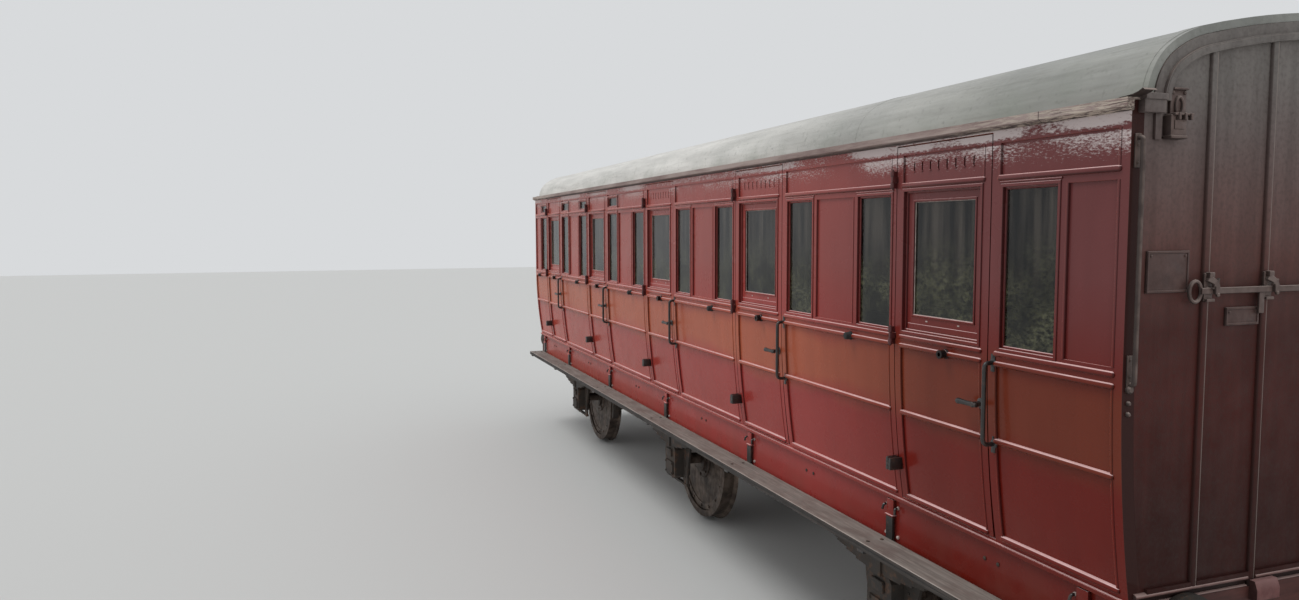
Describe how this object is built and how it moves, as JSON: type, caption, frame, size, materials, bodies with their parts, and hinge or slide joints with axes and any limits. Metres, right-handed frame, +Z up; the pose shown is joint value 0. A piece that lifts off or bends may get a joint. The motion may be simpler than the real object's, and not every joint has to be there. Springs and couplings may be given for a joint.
{
  "type": "six-wheeled passenger coach",
  "caption": "Short railway passenger coach on three axles, with side doors to separate compartments, a canvas arc roof, step boards, buffers and drawhooks.",
  "frame": {"origin": "bottom centre of the whole coach, at the lowest point of the wheel flanges", "axes": "+X along the coach towards the near end of the picture, +Y to the hidden side, +Z up"},
  "size_m": [11.3, 2.69, 3.5716],
  "materials": {
    "black_iron": "black painted iron",
    "blank_plate": "bare cast plate",
    "buffer_steel": "greased steel",
    "end_paint": "grimy dark brown-maroon paint",
    "floor_wood": "worn boards",
    "frame_iron": "dirty iron",
    "frame_wood": "painted timber frame",
    "gutter_paint": "weathered gutter paint",
    "inside_wood": "varnished boards",
    "maroon_paint": "gloss maroon coach paint",
    "roof_canvas": "painted grey canvas",
    "seat_cloth": "woven upholstery",
    "step_wood": "grey weathered plank",
    "stop_rubber": "black rubber",
    "wheel_steel": "worn steel",
    "window_glass": "dark reflecting glass"
  },
  "bodies": {
    "coach": {"axleboxes": "frame_iron", "axleguards": "frame_iron", "brake_blocks": "frame_iron", "brake_rigging": "frame_iron", "buffer_heads": "buffer_steel", "buffer_housings": "frame_iron", "cantrails": "maroon_paint", "crossbars": "frame_wood", "door_stops": "stop_rubber", "drawgear": "frame_iron", "end_irons": "black_iron", "end_mouldings": "end_paint", "end_plates": "blank_plate", "end_walls": "end_paint", "floor": "floor_wood", "footboards": "step_wood", "headstock_blocks": "maroon_paint", "headstocks": "frame_wood", "longitudinals": "frame_wood", "partitions": "inside_wood", "roof": "roof_canvas", "roof_gutters": "gutter_paint", "seat_backs": "seat_cloth", "seat_cushions": "seat_cloth", "seat_frames": "inside_wood", "side_glass": "window_glass", "side_irons": "black_iron", "side_panels": "maroon_paint", "sills": "maroon_paint", "solebars": "maroon_paint", "spring_hangers": "frame_iron", "springs": "frame_iron", "step_irons": "black_iron", "vacuum_cylinder": "frame_iron"},
    "wheelset_1": {"wheels_1": "wheel_steel", "axle_1": "wheel_steel"},
    "wheelset_2": {"wheels_2": "wheel_steel", "axle_2": "wheel_steel"},
    "wheelset_3": {"wheels_3": "wheel_steel", "axle_3": "wheel_steel"},
    "door_a1_body": {"door_a1": "maroon_paint", "door_a1_glass": "window_glass"},
    "door_b1_body": {"door_b1": "maroon_paint", "door_b1_glass": "window_glass"},
    "door_a2_body": {"door_a2": "maroon_paint", "door_a2_glass": "window_glass"},
    "door_b2_body": {"door_b2": "maroon_paint", "door_b2_glass": "window_glass"},
    "door_a3_body": {"door_a3": "maroon_paint", "door_a3_glass": "window_glass"},
    "door_b3_body": {"door_b3": "maroon_paint", "door_b3_glass": "window_glass"},
    "door_a4_body": {"door_a4": "maroon_paint", "door_a4_glass": "window_glass"},
    "door_b4_body": {"door_b4": "maroon_paint", "door_b4_glass": "window_glass"},
    "door_a5_body": {"door_a5": "maroon_paint", "door_a5_glass": "window_glass"},
    "door_b5_body": {"door_b5": "maroon_paint", "door_b5_glass": "window_glass"}
  },
  "joints": [
    {"name": "wheelset_1_roll", "type": "hinge", "parent": "coach", "child": "wheelset_1", "pos_m": [3.353, 0, 0.574], "axis": [0, 1, 0], "continuous": true},
    {"name": "wheelset_2_roll", "type": "hinge", "parent": "coach", "child": "wheelset_2", "pos_m": [0, 0, 0.574], "axis": [0, 1, 0], "continuous": true},
    {"name": "wheelset_3_roll", "type": "hinge", "parent": "coach", "child": "wheelset_3", "pos_m": [-3.353, 0, 0.574], "axis": [0, 1, 0], "continuous": true},
    {"name": "door_a1_swing", "type": "hinge", "parent": "coach", "child": "door_a1_body", "pos_m": [3.617, -1.245, 2.136], "axis": [0, 0, -1], "range_deg": [0, 172]},
    {"name": "door_b1_swing", "type": "hinge", "parent": "coach", "child": "door_b1_body", "pos_m": [-3.617, 1.245, 2.136], "axis": [0, 0, -1], "range_deg": [0, 172]},
    {"name": "door_a2_swing", "type": "hinge", "parent": "coach", "child": "door_a2_body", "pos_m": [1.629, -1.245, 2.136], "axis": [0, 0, -1], "range_deg": [0, 172]},
    {"name": "door_b2_swing", "type": "hinge", "parent": "coach", "child": "door_b2_body", "pos_m": [-1.629, 1.245, 2.136], "axis": [0, 0, -1], "range_deg": [0, 172]},
    {"name": "door_a3_swing", "type": "hinge", "parent": "coach", "child": "door_a3_body", "pos_m": [-0.359, -1.245, 2.136], "axis": [0, 0, -1], "range_deg": [0, 172]},
    {"name": "door_b3_swing", "type": "hinge", "parent": "coach", "child": "door_b3_body", "pos_m": [0.359, 1.245, 2.136], "axis": [0, 0, -1], "range_deg": [0, 172]},
    {"name": "door_a4_swing", "type": "hinge", "parent": "coach", "child": "door_a4_body", "pos_m": [-2.347, -1.245, 2.136], "axis": [0, 0, -1], "range_deg": [0, 172]},
    {"name": "door_b4_swing", "type": "hinge", "parent": "coach", "child": "door_b4_body", "pos_m": [2.347, 1.245, 2.136], "axis": [0, 0, -1], "range_deg": [0, 172]},
    {"name": "door_a5_swing", "type": "hinge", "parent": "coach", "child": "door_a5_body", "pos_m": [-4.335, -1.245, 2.136], "axis": [0, 0, -1], "range_deg": [0, 172]},
    {"name": "door_b5_swing", "type": "hinge", "parent": "coach", "child": "door_b5_body", "pos_m": [4.335, 1.245, 2.136], "axis": [0, 0, -1], "range_deg": [0, 172]}
  ]
}
